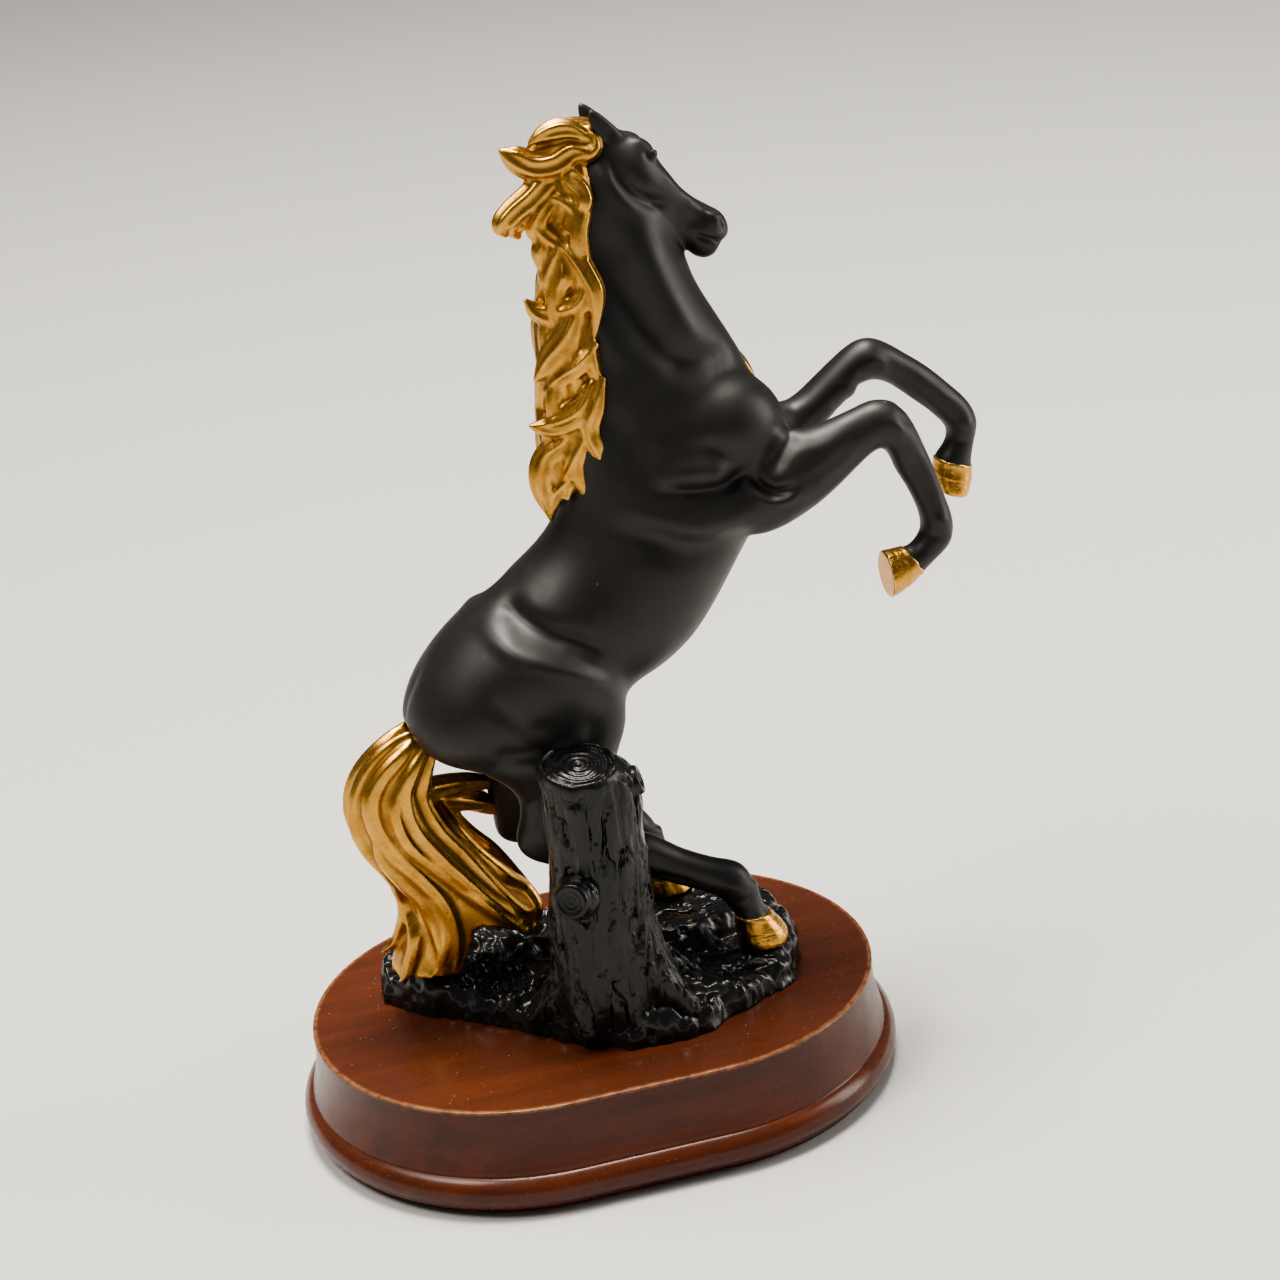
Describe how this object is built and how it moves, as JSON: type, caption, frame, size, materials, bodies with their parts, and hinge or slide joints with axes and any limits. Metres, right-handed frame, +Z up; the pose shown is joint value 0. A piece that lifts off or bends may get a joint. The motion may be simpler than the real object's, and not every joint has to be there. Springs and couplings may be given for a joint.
{
  "type": "rearing horse statuette",
  "caption": "Rearing horse statuette, matte black with gilt mane, tail and hooves, propped by a tree stump on a rocky base and an oval wooden plinth.",
  "frame": {"origin": "middle of the plinth's underside, on the surface that it stands on", "axes": "+Z up, +X the way the horse faces along the plinth's long axis, -Y towards the horse's right side and the stump"},
  "size_m": [0.2153, 0.1298, 0.2762],
  "materials": {
    "horse_black": "satin black lacquer on cast resin",
    "gilt": "metallic gold paint with a brown wash in the hollows, on cast resin",
    "rock_black": "glossy black lacquer on cast resin with bark and rock relief",
    "plinth_wood": "mahogany stain under satin lacquer",
    "felt": "dense green felt",
    "steel": "bright zinc-plated steel"
  },
  "bodies": {
    "root": {"felt_pad": "felt", "plinth": "plinth_wood", "mounting_screws": "steel", "screw_washers": "steel", "ground": "rock_black", "stump": "rock_black", "branch_stub": "rock_black", "top_knot": "rock_black", "torso": "horse_black", "neck": "horse_black", "head": "horse_black", "ear_right": "horse_black", "ear_left": "horse_black", "mane": "gilt", "mane_fall": "gilt", "foreleg_right": "horse_black", "foreleg_left": "horse_black", "hind_leg_right": "horse_black", "hind_leg_left": "horse_black", "hoof_fore_right": "gilt", "hoof_fore_left": "gilt", "hoof_hind_right": "gilt", "hoof_hind_left": "gilt", "tail": "gilt", "dowels": "steel", "hoof_rods": "steel"}
  },
  "joints": []
}
